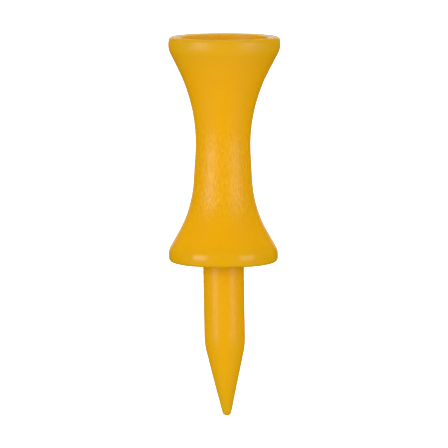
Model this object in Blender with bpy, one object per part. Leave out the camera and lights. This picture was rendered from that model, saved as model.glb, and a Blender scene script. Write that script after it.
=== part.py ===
"""A plastic castle golf tee: one injection moulding with a ball cup, a flared head and a ground spike.

The origin is the centre of the head's underside, which stops on the turf. +Z runs along the tee towards the ball.
"""

from math import acos, ceil, cos, pi, radians, sin, tan

import bmesh
import bpy
from mathutils import Vector

# Lengths are in millimetres, and heights are over the underside of the head.
MM = 0.001

HEAD_HEIGHT = 25.4
SPIKE_LENGTH = 17.6

# The rim is a band with a rounded edge, and the cup opens inside it.
RIM_RADIUS = 6.18
RIM_BAND_RADIUS = 6.28
RIM_BAND_DEPTH = 0.7
RIM_FOOT_RADIUS = 6.27
RIM_FOOT_DEPTH = 1.44
CUP_MOUTH_RADIUS = 4.95

# The outside narrows from the rim to a waist, then widens to the base.
WAIST_TOP_RADIUS = 2.81
WAIST_TOP_HEIGHT = 17.14
WAIST_FOOT_RADIUS = 3.48
WAIST_FOOT_HEIGHT = 6.07
BASE_RADIUS = 6.175
BASE_BAND_HEIGHT = 1.3

# The core leaves a funnel under the mouth and a narrow blind bore below it.
FUNNEL_RADIUS = 4.80
FUNNEL_DEPTH = 1.4
BORE_TOP_RADIUS = 1.75
BORE_TOP_HEIGHT = 15.6
BORE_FLOOR_RADIUS = 1.45
BORE_FLOOR_HEIGHT = 6.0

SPIKE_RADIUS = 2.285
POINT_HALF_ANGLE = radians(12.9)
POINT_RADIUS = 0.52

# The moulding is slightly bowed, by about 0.3 mm over its length.
BOW_RADIUS = 800.0
BOW_MIDDLE_HEIGHT = 9.2

SIDES = 48
CHORD_ERROR = 0.02
WIDEST_ARC_STEP = radians(20)
WELD = 0.0001

YELLOW = (0.80, 0.37, 0.006, 1.0)
ROUGHNESS = 0.38


def clear_scene():
    for old in list(bpy.data.objects):
        bpy.data.objects.remove(old, do_unlink=True)


def bow(height):
    """How far the axis lies to +X at this height. It is zero at the origin."""
    return ((height - BOW_MIDDLE_HEIGHT) ** 2 - BOW_MIDDLE_HEIGHT**2) / (2 * BOW_RADIUS)


def arc(centre, start, end, turn):
    """Points on the arc between two arms of the centre, which are this turn apart."""
    widest = 2 * acos(1 - CHORD_ERROR / start.length)
    steps = ceil(turn / min(widest, WIDEST_ARC_STEP))
    for step in range(steps + 1):
        far = turn * step / steps
        yield centre + (start * sin(turn - far) + end * sin(far)) / sin(turn)


def rounded(corners):
    """An outline through corners of (radius, height, rounding), with each rounding made an arc."""
    points = [Vector(corner[:2]) for corner in corners]
    outline = [points[0]]
    for before, corner, after, (_, _, rounding) in zip(points, points[1:], points[2:], corners[1:]):
        back = (before - corner).normalized()
        ahead = (after - corner).normalized()
        half_angle = back.angle(ahead) / 2
        centre = corner + (back + ahead).normalized() * rounding / sin(half_angle)
        tangent = rounding / tan(half_angle)
        start = corner + back * tangent - centre
        end = corner + ahead * tangent - centre
        outline.extend(arc(centre, start, end, pi - 2 * half_angle))
    outline.append(points[-1])
    return outline


def tee_outline():
    """Half of the tee's section, from the floor of the bore, over the lip and down to the point of the spike."""
    point_top = POINT_RADIUS * (1 / sin(POINT_HALF_ANGLE) - 1)
    apex_height = -SPIKE_LENGTH - point_top
    shoulder_height = apex_height + SPIKE_RADIUS / tan(POINT_HALF_ANGLE)
    return rounded(
        [
            (0.0, BORE_FLOOR_HEIGHT, 0.0),
            (BORE_FLOOR_RADIUS, BORE_FLOOR_HEIGHT, 0.9),
            (BORE_TOP_RADIUS, BORE_TOP_HEIGHT, 9.0),
            (FUNNEL_RADIUS, HEAD_HEIGHT - FUNNEL_DEPTH, 2.5),
            (CUP_MOUTH_RADIUS, HEAD_HEIGHT, 0.25),
            (RIM_RADIUS, HEAD_HEIGHT, 0.4),
            (RIM_BAND_RADIUS, HEAD_HEIGHT - RIM_BAND_DEPTH, 1.6),
            (RIM_FOOT_RADIUS, HEAD_HEIGHT - RIM_FOOT_DEPTH, 2.2),
            (WAIST_TOP_RADIUS, WAIST_TOP_HEIGHT, 18.4),
            (WAIST_FOOT_RADIUS, WAIST_FOOT_HEIGHT, 13.2),
            (BASE_RADIUS, BASE_BAND_HEIGHT, 1.8),
            (BASE_RADIUS, 0.0, 0.45),
            (SPIKE_RADIUS, 0.0, 0.3),
            (SPIKE_RADIUS, shoulder_height, 8.0),
            (point_top * tan(POINT_HALF_ANGLE), -SPIKE_LENGTH, POINT_RADIUS),
            (0.0, -SPIKE_LENGTH, 0.0),
        ]
    )


def plastic():
    material = bpy.data.materials.new("yellow_plastic")
    material.use_nodes = True
    shader = material.node_tree.nodes["Principled BSDF"]
    shader.inputs["Base Color"].default_value = YELLOW
    shader.inputs["Roughness"].default_value = ROUGHNESS
    shader.inputs["Metallic"].default_value = 0.0
    material.diffuse_color = YELLOW
    return material


def turned_mesh(name, outline):
    """The outline spun round the axis, then bowed. Its sections stay level."""
    shape = bmesh.new()
    verts = [shape.verts.new((point.x * MM, 0.0, point.y * MM)) for point in outline]
    edges = [shape.edges.new(pair) for pair in zip(verts, verts[1:])]
    bmesh.ops.spin(
        shape,
        geom=verts + edges,
        cent=(0.0, 0.0, 0.0),
        axis=(0.0, 0.0, 1.0),
        angle=2 * pi,
        steps=SIDES,
        use_merge=True,
    )
    bmesh.ops.remove_doubles(shape, verts=shape.verts, dist=WELD * MM)
    for vert in shape.verts:
        vert.co.x += bow(vert.co.z / MM) * MM
    bmesh.ops.recalc_face_normals(shape, faces=shape.faces)
    mesh = bpy.data.meshes.new(name)
    shape.to_mesh(mesh)
    shape.free()
    mesh.shade_smooth()
    return mesh


def make_tee():
    mesh = turned_mesh("tee_body", tee_outline())
    mesh.materials.append(plastic())
    tee = bpy.data.objects.new("tee_body", mesh)
    bpy.context.scene.collection.objects.link(tee)


clear_scene()
make_tee()
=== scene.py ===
# The looks of a plastic castle golf tee: a fine mesh with mould seams, satin plastic, and a white studio.
# Lengths on the tee are in millimetres, with heights over the head's underside. The studio is in metres.

from math import acos, ceil, cos, exp, pi, radians, sin, tan

import bpy
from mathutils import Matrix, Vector, noise


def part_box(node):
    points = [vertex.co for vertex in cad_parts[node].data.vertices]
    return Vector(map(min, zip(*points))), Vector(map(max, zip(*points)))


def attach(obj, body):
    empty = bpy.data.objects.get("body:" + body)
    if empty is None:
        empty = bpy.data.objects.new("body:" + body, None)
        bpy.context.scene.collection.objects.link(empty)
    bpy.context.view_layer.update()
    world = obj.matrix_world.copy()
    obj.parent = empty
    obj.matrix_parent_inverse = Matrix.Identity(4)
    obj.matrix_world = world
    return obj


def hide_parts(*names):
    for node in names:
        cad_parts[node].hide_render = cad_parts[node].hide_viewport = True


MM = 0.001
NODE = "tee_body"

# The outline repeats the part's driving dimensions. The head's height and the spike's length come from
# the frame.
RIM_RADIUS = 6.18
RIM_BAND_RADIUS = 6.28
RIM_BAND_DEPTH = 0.7
RIM_FOOT_RADIUS = 6.27
RIM_FOOT_DEPTH = 1.44
CUP_MOUTH_RADIUS = 4.95
WAIST_TOP_RADIUS = 2.81
WAIST_TOP_HEIGHT = 17.14
WAIST_FOOT_RADIUS = 3.48
WAIST_FOOT_HEIGHT = 6.07
BASE_RADIUS = 6.175
BASE_BAND_HEIGHT = 1.3
FUNNEL_RADIUS = 4.80
FUNNEL_DEPTH = 1.4
BORE_TOP_RADIUS = 1.75
BORE_TOP_HEIGHT = 15.6
BORE_FLOOR_RADIUS = 1.45
BORE_FLOOR_HEIGHT = 6.0
SPIKE_RADIUS = 2.285
POINT_HALF_ANGLE = radians(12.9)
POINT_RADIUS = 0.52
BOW_RADIUS = 800.0
BOW_MIDDLE_HEIGHT = 9.2

# Two slight slopes that the part leaves out. The lip's top is over the part's flat lip at its outer corner
# and under it at the cup's mouth. The base band narrows to its foot.
LIP_RISE = 0.055
LIP_FALL = 0.135
BASE_FOOT_RADIUS = 6.11

# The fine mesh. Its sides crowd towards the seams, and would meet there at a crowding of 1.
CHORD_ERROR = 0.001
WIDEST_ARC_STEP = radians(9)
LONGEST_STEP = 0.28
SIDES = 256
SEAM_CROWDING = 0.8

# The mould's traces: a seam in the XZ plane that fades near the axis, and ripples, longer up and down
SEAM_HEIGHT = 0.022
SEAM_HALF_WIDTH = 0.05
SEAM_FADE_RADIUS = 1.0
RIPPLE_HEIGHT = 0.007
RIPPLE_LENGTH = 0.9
RIPPLE_STRETCH = 1.6

# How far the outside's colour moves along the tee, from the thick yellow at 0 to the thin yellow at 1, which
# is paler, greener and darker. It is mostly painted light: a painted highlight tint, greener where
# highlights fall on the rim, the base band and the spike, with painted shade that darkens them. Towards the
# spike's point it is partly the thin plastic's own tone. The outside of the cup's wall adds the second list,
# and flow marks move it both ways by the tint.
THICK_YELLOW = (0.86, 0.41, 0.0027, 1.0)
THIN_AND_PAINTED_SHADE_YELLOW = (0.67, 0.382, 0.0048, 1.0)
THINNESS_AND_PAINTED_TINT = (
    (-17.6, 1.0),
    (-16.3, 0.75),
    (-14.5, 0.5),
    (-12.0, 0.25),
    (-0.4, 0.18),
    (0.0, 0.5),
    (1.2, 0.45),
    (2.6, 0.1),
    (5.0, 0.1),
    (7.5, 0.08),
    (13.0, 0.06),
    (17.0, 0.1),
    (21.8, 0.15),
    (25.4, 0.15),
)
# The rim's outside takes more of the painted highlight tint and painted shade.
RIM_PAINTED_TINT_AND_SHADE = ((21.8, 0.0), (23.4, 0.25), (25.4, 0.55))
FLOW_TINT = 0.10
FLOW_STRETCH = (1.0, 1.0, 0.4)
FLOW_SCALE = 300.0

# The cup takes on a brighter, greener colour between these heights: painted light in the shaded hollow. A
# cone within the wall parts it from the outside.
# The cone goes from the foot radius, at the top of the bore, to the cup mouth's radius at the top height.
CUP_PAINTED_LIGHT_YELLOW = (0.84, 0.47, 0.0030, 1.0)
CUP_SHARE = ((17.0, 0.0), (21.0, 1.0))
WALL_TOP_HEIGHT = 23.2
WALL_FOOT_RADIUS = 2.35
WALL_BLEND = 0.2

# Fine streaks left in the surface, up and down on the waist and round the spike. The depth is in metres.
STREAKS_UP = ((4.0, 0.0), (6.5, 1.0), (14.0, 1.0), (17.5, 0.0))
UP_STRETCH = (1.0, 1.0, 0.35)
STREAKS_ROUND = ((-17.6, 0.05), (-9.0, 0.25), (-5.0, 0.45), (-1.0, 0.45), (0.0, 0.1))
ROUND_STRETCH = (0.8, 0.8, 1.4)
COARSE_SCALE = 4500.0
FINE_SCALE = 9000.0
COARSE_SHARE = 1.5
MEAN_NOISE = 0.5
STREAK_DEPTH = 0.000030
# How much the streaks paint glints and shade into the colour: lighter on the raised streaks, darker between
# them.
STREAK_PAINTED_GLINT_AND_SHADE = 0.17

# The skin is glossiest on the lip and the base, and dullest under the rim and in the cup. Its roughness also
# follows the flow marks, by this spread.
ROUGHNESS = (
    (-17.6, 0.20),
    (-0.3, 0.19),
    (0.0, 0.16),
    (2.5, 0.17),
    (6.0, 0.19),
    (15.0, 0.21),
    (22.0, 0.30),
    (24.9, 0.36),
    (25.25, 0.16),
    (25.4, 0.16),
)
ROUGHNESS_SPREAD = 0.04
CUP_DULLNESS = 0.2

# The camera, in front of the tee and over the turf's level
CAMERA_DISTANCE = 0.436
CAMERA_HEIGHT = 0.0559
AIM_X = 0.00006
AIM_HEIGHT = 0.00425
HALF_VIEW = radians(3.2875)
NEAREST_VIEW = 0.01

# The white studio. Its backdrop is what the tee mirrors, and the camera sees plain white instead.
WHITE = (1.0, 1.0, 1.0, 1.0)
FLOOR_HEIGHT = -0.45
FLOOR_SIDE = 40.0
FLOOR_COLOUR = (0.9, 0.9, 0.9, 1.0)
FLOOR_GLOW = 1.0
BACKDROP_WAY = (0.0, 1.0, 0.22)
BACKDROP_LEVEL = 0.68
BACKDROP_EDGE = 0.84
BACKDROP_HEART = 0.98

# Two soft boxes in front of the tee. Each has its side of the camera, left or right, and its radiance.
BOXES = {"left_box": (-1, 5.0), "right_box": (1, 3.2)}
BOX_DISTANCE = 0.60
BOX_ANGLE = radians(51)
BOX_HEIGHT = 0.08
BOX_SIZE = (0.33, 0.32)
BOX_AIM = (0.0, 0.0, 0.012)

# Soft glows that light the tee and aren't mirrored in it. Each has the way to its middle and its level, and
# fades from its heart to its edge.
GLOWS = {
    "left": ((-0.83, -0.56, 0.05), 0.96),
    "right": ((0.83, -0.56, 0.05), 1.18),
    "front": ((0.0, -1.0, 0.0), 0.12),
    "back": ((0.0, 0.7, 0.7), 2.5),
    "roof": ((0.0, -0.3, 1.0), 0.12),
    "below": ((0.0, 0.0, -1.0), 0.7),
}
GLOW_EDGE = 0.55
GLOW_HEART = 0.95


def bow(height):
    """How far the axis lies to +X at this height. It is zero at the origin."""
    return ((height - BOW_MIDDLE_HEIGHT) ** 2 - BOW_MIDDLE_HEIGHT**2) / (2 * BOW_RADIUS)


def arc(centre, start, end, turn):
    """Points on the arc between two arms of the centre, which are this turn apart."""
    widest = 2 * acos(1 - CHORD_ERROR / start.length)
    steps = ceil(turn / min(widest, WIDEST_ARC_STEP))
    for step in range(steps + 1):
        far = turn * step / steps
        yield centre + (start * sin(turn - far) + end * sin(far)) / sin(turn)


def rounded(corners):
    """An outline through corners of (radius, height, rounding), with each rounding made an arc."""
    points = [Vector(corner[:2]) for corner in corners]
    outline = [points[0]]
    for before, corner, after, (_, _, rounding) in zip(points, points[1:], points[2:], corners[1:]):
        back = (before - corner).normalized()
        ahead = (after - corner).normalized()
        half_angle = back.angle(ahead) / 2
        centre = corner + (back + ahead).normalized() * rounding / sin(half_angle)
        tangent = rounding / tan(half_angle)
        start = corner + back * tangent - centre
        end = corner + ahead * tangent - centre
        outline.extend(arc(centre, start, end, pi - 2 * half_angle))
    outline.append(points[-1])
    return outline


def with_short_steps(outline):
    """The outline with each long straight stretch cut into steps, and points that coincide left out."""
    fine = [outline[0]]
    for point in outline[1:]:
        stretch = point - fine[-1]
        if stretch.length < CHORD_ERROR:
            continue
        steps = ceil(stretch.length / LONGEST_STEP)
        start = fine[-1]
        fine.extend(start + stretch * step / steps for step in range(1, steps + 1))
    return fine


def lip_middle(head_height):
    """The corner list's entry halfway along the lip's sloping top, where the two outlines meet."""
    return ((CUP_MOUTH_RADIUS + RIM_RADIUS) / 2, head_height + (LIP_RISE - LIP_FALL) / 2, 0.0)


def cup_outline(head_height):
    """From the floor of the bore up to the middle of the lip's top."""
    return rounded(
        [
            (0.0, BORE_FLOOR_HEIGHT, 0.0),
            (BORE_FLOOR_RADIUS, BORE_FLOOR_HEIGHT, 0.9),
            (BORE_TOP_RADIUS, BORE_TOP_HEIGHT, 9.0),
            (FUNNEL_RADIUS, head_height - FUNNEL_DEPTH, 2.5),
            (CUP_MOUTH_RADIUS, head_height - LIP_FALL, 0.25),
            lip_middle(head_height),
        ]
    )


def outer_outline(head_height, spike_length):
    """From the middle of the lip's top down the outside to the point of the spike."""
    point_top = POINT_RADIUS * (1 / sin(POINT_HALF_ANGLE) - 1)
    apex_height = -spike_length - point_top
    shoulder_height = apex_height + SPIKE_RADIUS / tan(POINT_HALF_ANGLE)
    return rounded(
        [
            lip_middle(head_height),
            (RIM_RADIUS, head_height + LIP_RISE, 0.4),
            (RIM_BAND_RADIUS, head_height - RIM_BAND_DEPTH, 1.6),
            (RIM_FOOT_RADIUS, head_height - RIM_FOOT_DEPTH, 2.2),
            (WAIST_TOP_RADIUS, WAIST_TOP_HEIGHT, 18.4),
            (WAIST_FOOT_RADIUS, WAIST_FOOT_HEIGHT, 13.2),
            (BASE_RADIUS, BASE_BAND_HEIGHT, 1.8),
            (BASE_FOOT_RADIUS, 0.0, 0.45),
            (SPIKE_RADIUS, 0.0, 0.3),
            (SPIKE_RADIUS, shoulder_height, 8.0),
            (point_top * tan(POINT_HALF_ANGLE), -spike_length, POINT_RADIUS),
            (0.0, -spike_length, 0.0),
        ]
    )


def outward_normals(outline):
    """The normal of each outline point, on the side away from the plastic."""
    ends = [outline[0]] + outline + [outline[-1]]
    directions = [(after - before).normalized() for before, after in zip(ends, ends[2:])]
    return [Vector((-direction.y, direction.x)) for direction in directions]


def crowded_angles():
    """Angles round the axis, closer together near the seams at 0 and half a turn."""
    turns = [2 * pi * side / SIDES for side in range(SIDES)]
    return [turn - SEAM_CROWDING * sin(2 * turn) / 2 for turn in turns]


def mould_relief(point, radius):
    """How far the outside stands proud of its outline at this point."""
    fade = min(1.0, radius / SEAM_FADE_RADIUS)
    ridge = SEAM_HEIGHT * exp(-((point.y / SEAM_HALF_WIDTH) ** 2)) * fade
    stretched = Vector((point.x, point.y, point.z / RIPPLE_STRETCH)) / RIPPLE_LENGTH
    return ridge + RIPPLE_HEIGHT * noise.noise(stretched)


def fine_mesh(name, inside, outside):
    """Both outlines turned round the axis and bowed, as one closed mesh."""
    outline = inside + outside[1:]
    normals = outward_normals(outline)
    angles = crowded_angles()
    verts = []
    rings = []
    for index, (point, normal) in enumerate(zip(outline, normals)):
        on_axis = index in (0, len(outline) - 1)
        ring = []
        for angle in angles[:1] if on_axis else angles:
            radial = Vector((cos(angle), sin(angle), 0.0))
            place = radial * point.x + Vector((0.0, 0.0, point.y))
            if index > len(inside) and not on_axis:
                slope = radial * normal.x + Vector((0.0, 0.0, normal.y))
                place += slope * mould_relief(place, point.x)
            place.x += bow(point.y)
            ring.append(len(verts))
            verts.append(place * MM)
        rings.append(ring)
    faces = []
    for upper, lower in zip(rings, rings[1:]):
        for side in range(SIDES):
            after = (side + 1) % SIDES
            if len(upper) == 1:
                faces.append((upper[0], lower[side], lower[after]))
            elif len(lower) == 1:
                faces.append((upper[side], lower[0], upper[after]))
            else:
                faces.append((upper[side], lower[side], lower[after], upper[after]))
    mesh = bpy.data.meshes.new(name)
    mesh.from_pydata(verts, [], faces)
    mesh.shade_smooth()
    return mesh


class Nodes:
    """A short way to add nodes to a tree and link them."""

    def __init__(self, tree):
        self.tree = tree
        tree.nodes.clear()

    def add(self, kind, inputs=None, **settings):
        node = self.tree.nodes.new("ShaderNode" + kind)
        for name, value in settings.items():
            setattr(node, name, value)
        for name, value in (inputs or {}).items():
            if isinstance(value, bpy.types.NodeSocket):
                self.tree.links.new(value, node.inputs[name])
            else:
                node.inputs[name].default_value = value
        return node

    def math(self, operation, *values, **settings):
        """The result of this operation on numbers or sockets."""
        return self.add("Math", dict(enumerate(values)), operation=operation, **settings).outputs[0]

    def remap(self, value, before, after, **settings):
        """A value moved from the range before to the range after, and kept within it."""
        limits = {"From Min": before[0], "From Max": before[1], "To Min": after[0], "To Max": after[1]}
        return self.add("MapRange", {"Value": value, **limits}, **settings).outputs["Result"]

    def ramp(self, value, stops):
        """A ColorRamp of this value, through grey or coloured stops of (position, level)."""
        node = self.add("ValToRGB", {"Fac": value})
        elements = node.color_ramp.elements
        elements.remove(elements[0])
        elements[0].position = stops[0][0]
        for position, _ in stops[1:]:
            elements.new(position)
        for element, (_, level) in zip(elements, stops):
            element.color = level if isinstance(level, tuple) else (level, level, level, 1.0)
        return node.outputs["Color"]

    def by_height(self, height, levels):
        """Levels along the tee, from stops of (height in millimetres, level)."""
        low, high = levels[0][0], levels[-1][0]
        along = self.remap(height, (low * MM, high * MM), (0.0, 1.0))
        return self.ramp(along, [((mm - low) / (high - low), level) for mm, level in levels])

    def facing(self, way, direction, edge, heart, level):
        """This level near one direction, falling to nothing at its edge. Edge and heart are cosines."""
        ahead = Vector(direction).normalized()
        towards = self.add("VectorMath", {0: way, 1: ahead}, operation="DOT_PRODUCT").outputs["Value"]
        return self.remap(towards, (edge, heart), (0.0, level), interpolation_type="SMOOTHSTEP")


def outside_share(nodes, place, height):
    """1 on the outside and 0 in the cup, which a cone within the wall parts."""
    across = nodes.add("VectorMath", {0: place, 1: (1.0, 1.0, 0.0)}, operation="MULTIPLY").outputs["Vector"]
    radius = nodes.add("VectorMath", {0: across}, operation="LENGTH").outputs["Value"]
    heights = (BORE_TOP_HEIGHT * MM, WALL_TOP_HEIGHT * MM)
    cone = nodes.remap(height, heights, (WALL_FOOT_RADIUS * MM, CUP_MOUTH_RADIUS * MM))
    beyond = nodes.math("SUBTRACT", radius, cone)
    return nodes.remap(beyond, (-WALL_BLEND * MM, WALL_BLEND * MM), (0.0, 1.0))


def plain_colour(nodes, height, outside, cup_share, flow):
    """Yellow, paler, greener and darker where a highlight tint and shade are painted along the tee, and
    where the plastic is thin near the spike's point, with the cup's painted light inside it.
    """
    tint = nodes.remap(flow, (0.0, 1.0), (-FLOW_TINT, FLOW_TINT))
    # Painted highlight tint and painted shade along the tee and on the rim's outside, with random flow marks
    # that move it both ways.
    rim = nodes.math("MULTIPLY_ADD", nodes.by_height(height, RIM_PAINTED_TINT_AND_SHADE), outside, tint)
    thinness_and_painted_tint = nodes.math("ADD", nodes.by_height(height, THINNESS_AND_PAINTED_TINT), rim)
    outer = nodes.ramp(thinness_and_painted_tint, ((0.0, THICK_YELLOW), (1.0, THIN_AND_PAINTED_SHADE_YELLOW)))
    # The cup's painted light, brighter and greener than the outside.
    return nodes.add("MixRGB", {"Fac": cup_share, "Color1": outer, "Color2": CUP_PAINTED_LIGHT_YELLOW}).outputs["Color"]


def streaks(nodes, place, stretch, level):
    """Fine noise about zero, drawn out where its stretch is under 1, at this level."""
    drawn = nodes.add("Mapping", {"Vector": place, "Scale": stretch}).outputs["Vector"]
    coarse = nodes.add("TexNoise", {"Vector": drawn, "Scale": COARSE_SCALE, "Detail": 1.0}).outputs["Fac"]
    fine = nodes.add("TexNoise", {"Vector": drawn, "Scale": FINE_SCALE, "Detail": 1.0}).outputs["Fac"]
    grain = nodes.math("MULTIPLY_ADD", coarse, COARSE_SHARE, fine)
    centred = nodes.math("SUBTRACT", grain, MEAN_NOISE * (COARSE_SHARE + 1))
    return nodes.math("MULTIPLY", centred, level)


def streak_relief(nodes, place, height):
    """The streaks of both directions, each where it belongs."""
    up = streaks(nodes, place, UP_STRETCH, nodes.by_height(height, STREAKS_UP))
    round_it = streaks(nodes, place, ROUND_STRETCH, nodes.by_height(height, STREAKS_ROUND))
    return nodes.math("ADD", up, round_it)


def skin_roughness(nodes, height, cup_share, flow):
    uneven = nodes.math("SUBTRACT", flow, MEAN_NOISE)
    skin = nodes.math("MULTIPLY_ADD", uneven, ROUGHNESS_SPREAD, nodes.by_height(height, ROUGHNESS))
    return nodes.math("MULTIPLY_ADD", cup_share, CUP_DULLNESS, skin)


def plastic():
    """Satin yellow plastic, a little translucent, with faint flow marks and fine streaks. Its colour carries
    painted glints and shade along the streaks, a painted highlight tint and shade along the tee, and painted
    light in the cup.
    """
    material = bpy.data.materials.new("satin_yellow_plastic")
    material.use_nodes = True
    nodes = Nodes(material.node_tree)
    place = nodes.add("TexCoord").outputs["Object"]
    height = nodes.add("SeparateXYZ", {0: place}).outputs["Z"]
    outside = outside_share(nodes, place, height)
    cup_share = nodes.math("SUBTRACT", nodes.by_height(height, CUP_SHARE), outside, use_clamp=True)
    drawn = nodes.add("Mapping", {"Vector": place, "Scale": FLOW_STRETCH}).outputs["Vector"]
    flow_marks = {"Vector": drawn, "Scale": FLOW_SCALE, "Detail": 3.0, "Roughness": 0.55}
    flow = nodes.add("TexNoise", flow_marks).outputs["Fac"]
    colour = plain_colour(nodes, height, outside, cup_share, flow)
    relief = streak_relief(nodes, place, height)
    # Painted glints and painted shade in the colour, following the streaks' relief.
    shade = nodes.math("MULTIPLY_ADD", relief, STREAK_PAINTED_GLINT_AND_SHADE, 1.0)
    glint_painted_colour = nodes.add("MixRGB", {"Fac": 1.0, "Color1": colour, "Color2": shade}, blend_type="MULTIPLY")
    bump = nodes.add("Bump", {"Height": relief, "Strength": 1.0, "Distance": STREAK_DEPTH})
    shader = nodes.add(
        "BsdfPrincipled",
        {
            "Base Color": glint_painted_colour.outputs["Color"],
            "Roughness": skin_roughness(nodes, height, cup_share, flow),
            "Normal": bump.outputs["Normal"],
            "IOR": 1.5,
            "Specular IOR Level": 0.25,
            "Subsurface Weight": 0.15,
            "Subsurface Radius": (1.0, 0.5, 0.1),
            "Subsurface Scale": 0.0006,
        },
    )
    nodes.add("OutputMaterial", {"Surface": shader.outputs["BSDF"]})
    return material


def make_tee():
    low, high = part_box(NODE)
    head_height = high.z / MM
    spike_length = -low.z / MM
    inside = with_short_steps(cup_outline(head_height))
    outside = with_short_steps(outer_outline(head_height, spike_length))
    tee = bpy.data.objects.new("castle_tee", fine_mesh("castle_tee", inside, outside))
    tee.data.materials.append(plastic())
    bpy.context.scene.collection.objects.link(tee)
    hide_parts(NODE)
    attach(tee, "root")


def white_floor():
    material = bpy.data.materials.new("white_floor")
    material.use_nodes = True
    nodes = Nodes(material.node_tree)
    shader = nodes.add(
        "BsdfPrincipled",
        {
            "Base Color": FLOOR_COLOUR,
            "Roughness": 0.9,
            "Emission Color": WHITE,
            "Emission Strength": FLOOR_GLOW,
        },
    )
    nodes.add("OutputMaterial", {"Surface": shader.outputs["BSDF"]})
    return material


def make_floor():
    """A wide pale floor far under the tee, which throws no light on it."""
    half = FLOOR_SIDE / 2
    corners = [(x, y, FLOOR_HEIGHT) for x, y in ((-half, -half), (half, -half), (half, half), (-half, half))]
    mesh = bpy.data.meshes.new("floor")
    mesh.from_pydata(corners, [], [(0, 1, 2, 3)])
    mesh.materials.append(white_floor())
    floor = bpy.data.objects.new("floor", mesh)
    floor.visible_diffuse = False
    floor.visible_glossy = False
    bpy.context.scene.collection.objects.link(floor)


def point_at(thing, target):
    thing.rotation_euler = (Vector(target) - thing.location).to_track_quat("-Z", "Y").to_euler()


def make_boxes():
    """The soft boxes, which light the tee and shine in it, and which the camera doesn't see."""
    for name, (side, radiance) in BOXES.items():
        light = bpy.data.lights.new(name, "AREA")
        light.shape = "RECTANGLE"
        light.size, light.size_y = BOX_SIZE
        light.energy = radiance * pi * light.size * light.size_y
        box = bpy.data.objects.new(name, light)
        angle = side * BOX_ANGLE
        box.location = (BOX_DISTANCE * sin(angle), -BOX_DISTANCE * cos(angle), BOX_HEIGHT)
        point_at(box, BOX_AIM)
        box.visible_camera = False
        bpy.context.scene.collection.objects.link(box)


def make_world():
    """White for the camera, a backdrop that the tee mirrors, and soft glows that light the tee."""
    world = bpy.data.worlds.new("studio")
    world.use_nodes = True
    world.cycles.sampling_method = "NONE"
    nodes = Nodes(world.node_tree)
    way = nodes.add("TexCoord").outputs["Generated"]
    ray = nodes.add("LightPath").outputs
    strength = ray["Is Camera Ray"]
    for direction, level in GLOWS.values():
        glow = nodes.facing(way, direction, GLOW_EDGE, GLOW_HEART, level)
        strength = nodes.math("MULTIPLY_ADD", glow, ray["Is Diffuse Ray"], strength)
    backdrop = nodes.facing(way, BACKDROP_WAY, BACKDROP_EDGE, BACKDROP_HEART, BACKDROP_LEVEL)
    strength = nodes.math("MULTIPLY_ADD", backdrop, ray["Is Glossy Ray"], strength)
    background = nodes.add("Background", {"Color": WHITE, "Strength": strength})
    nodes.add("OutputWorld", {"Surface": background.outputs["Background"]})
    bpy.context.scene.world = world


def make_camera():
    camera = bpy.data.objects.new("camera", bpy.data.cameras.new("camera"))
    camera.location = (AIM_X, -CAMERA_DISTANCE, CAMERA_HEIGHT)
    point_at(camera, (AIM_X, 0.0, AIM_HEIGHT))
    camera.data.angle = 2 * HALF_VIEW
    camera.data.clip_start = NEAREST_VIEW
    bpy.context.scene.collection.objects.link(camera)
    bpy.context.scene.camera = camera


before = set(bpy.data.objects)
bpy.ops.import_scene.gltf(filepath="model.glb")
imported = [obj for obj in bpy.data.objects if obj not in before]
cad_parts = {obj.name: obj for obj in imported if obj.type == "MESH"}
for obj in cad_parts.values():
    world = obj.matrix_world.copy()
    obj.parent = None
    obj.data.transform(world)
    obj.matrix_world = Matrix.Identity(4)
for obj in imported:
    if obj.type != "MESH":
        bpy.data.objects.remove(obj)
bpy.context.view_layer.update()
make_camera()
make_world()
make_floor()
make_boxes()
make_tee()
bpy.context.scene.view_settings.view_transform = "Standard"
